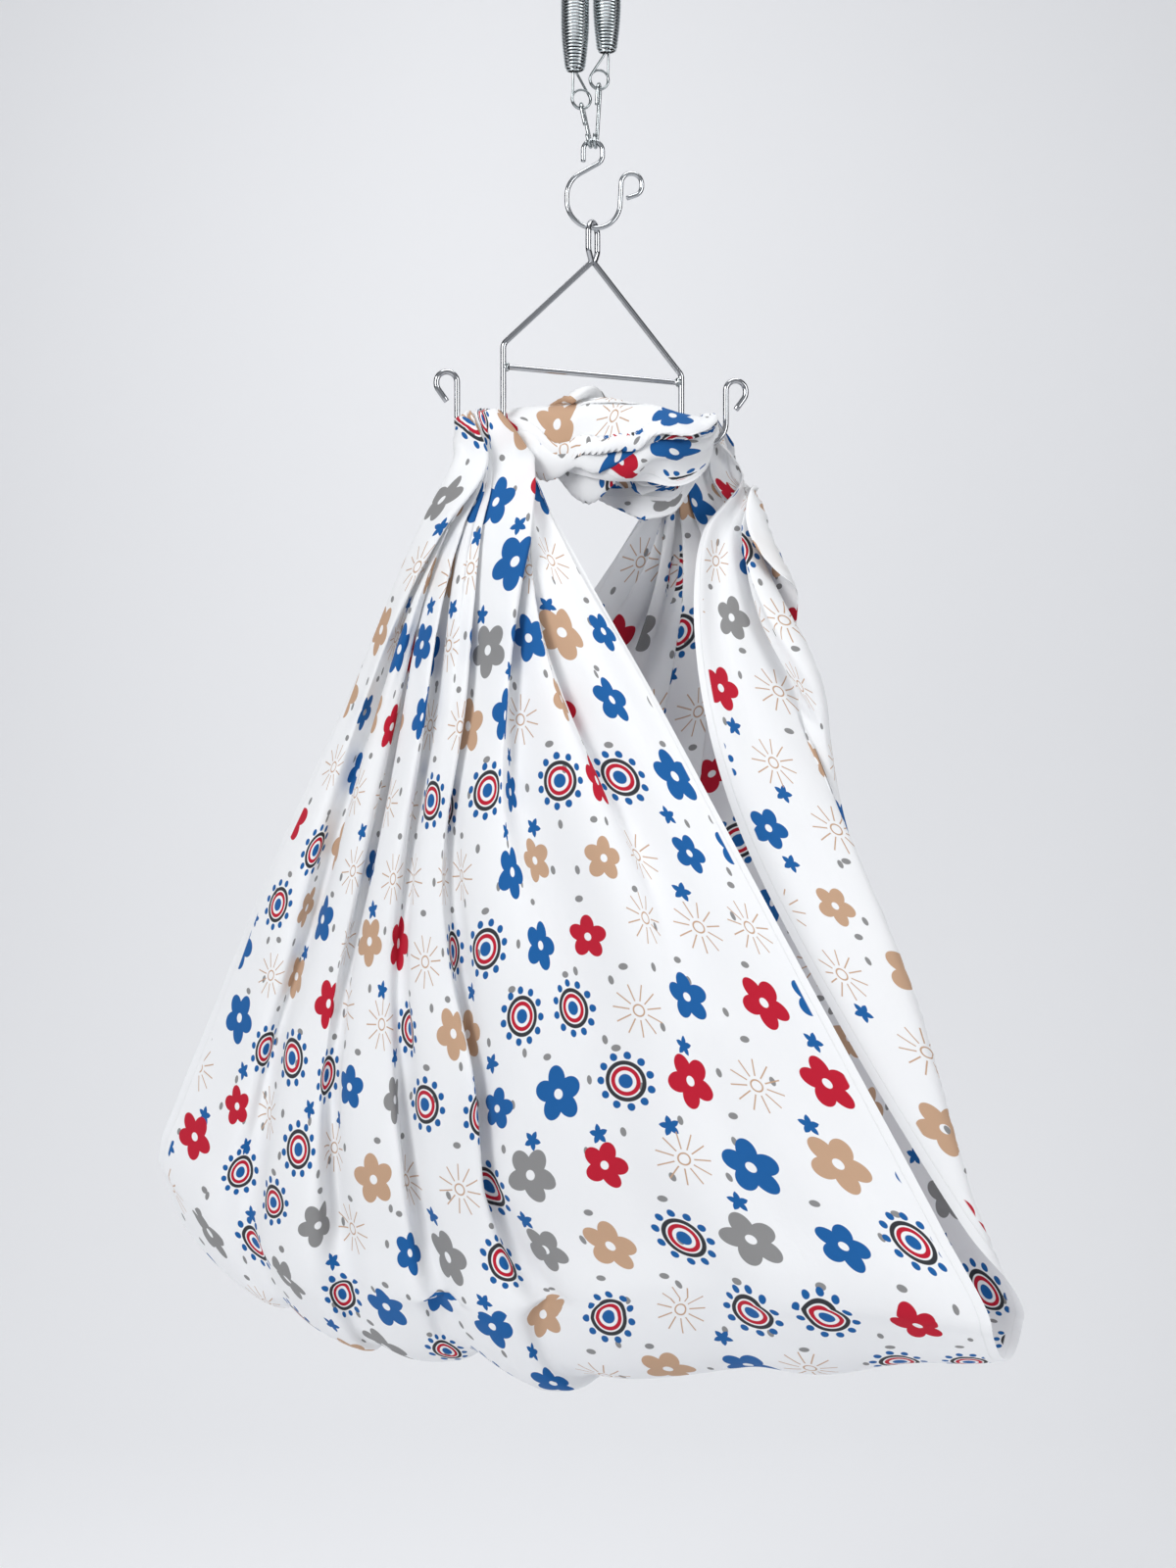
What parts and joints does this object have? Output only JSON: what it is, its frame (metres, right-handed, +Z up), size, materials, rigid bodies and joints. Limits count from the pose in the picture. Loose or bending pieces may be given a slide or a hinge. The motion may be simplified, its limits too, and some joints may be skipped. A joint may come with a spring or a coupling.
{
  "type": "hanging spring baby cradle",
  "caption": "Sewn cloth tube hung over two hooks of a bent-rod hanger, below an S-hook, wire links and twin tension springs.",
  "frame": {"origin": "inside top of the top hook's bowl, the point that the cradle hangs from", "axes": "+Z up; +X along the hanger towards its right hook seen from the front; -Y is the front"},
  "size_m": [0.7725, 0.8476, 1.7149],
  "materials": {
    "chrome": "bright chrome plating",
    "steel": "bright zinc plating",
    "zinc": "bright zinc plating on spring wire",
    "cotton": "thin white cotton with a scattered print"
  },
  "bodies": {
    "mounting": {"top_hook": "chrome"},
    "springs": {"upper_left_link": "steel", "upper_right_link": "steel", "upper_left_eye": "steel", "upper_right_eye": "steel", "spring_left": "zinc", "spring_right": "zinc"},
    "lower_links": {"lower_left_eye": "steel", "lower_right_eye": "steel", "lower_left_link": "steel", "lower_right_link": "steel"},
    "hook": {"s_hook": "chrome"},
    "hanger": {"hanger_rod": "chrome", "crossbar": "chrome", "left_weld": "steel", "right_weld": "steel", "cloth_swag": "cotton", "cloth_left_panel": "cotton", "cloth_right_panel": "cotton", "cloth_trough": "cotton"}
  },
  "joints": [
    {"name": "cradle_swing", "type": "hinge", "parent": "mounting", "child": "springs", "pos_m": [0, 0, -0.0865], "axis": [1, 0, 0], "range_deg": [-20, 20]},
    {"name": "spring_stretch", "type": "slide", "parent": "springs", "child": "lower_links", "axis": [0, 0, -1], "range_m": [0, 0.12], "stiffness_N_per_m": 436, "springref_m": -0.036, "deforming": ["spring_left", "spring_right"]},
    {"name": "hook_swing", "type": "hinge", "parent": "lower_links", "child": "hook", "pos_m": [0, 0, -0.43509], "axis": [1, 0, 0], "range_deg": [-25, 25]},
    {"name": "hanger_swing", "type": "hinge", "parent": "hook", "child": "hanger", "pos_m": [0, 0, -0.52409], "axis": [1, 0, 0], "range_deg": [-25, 25]}
  ]
}
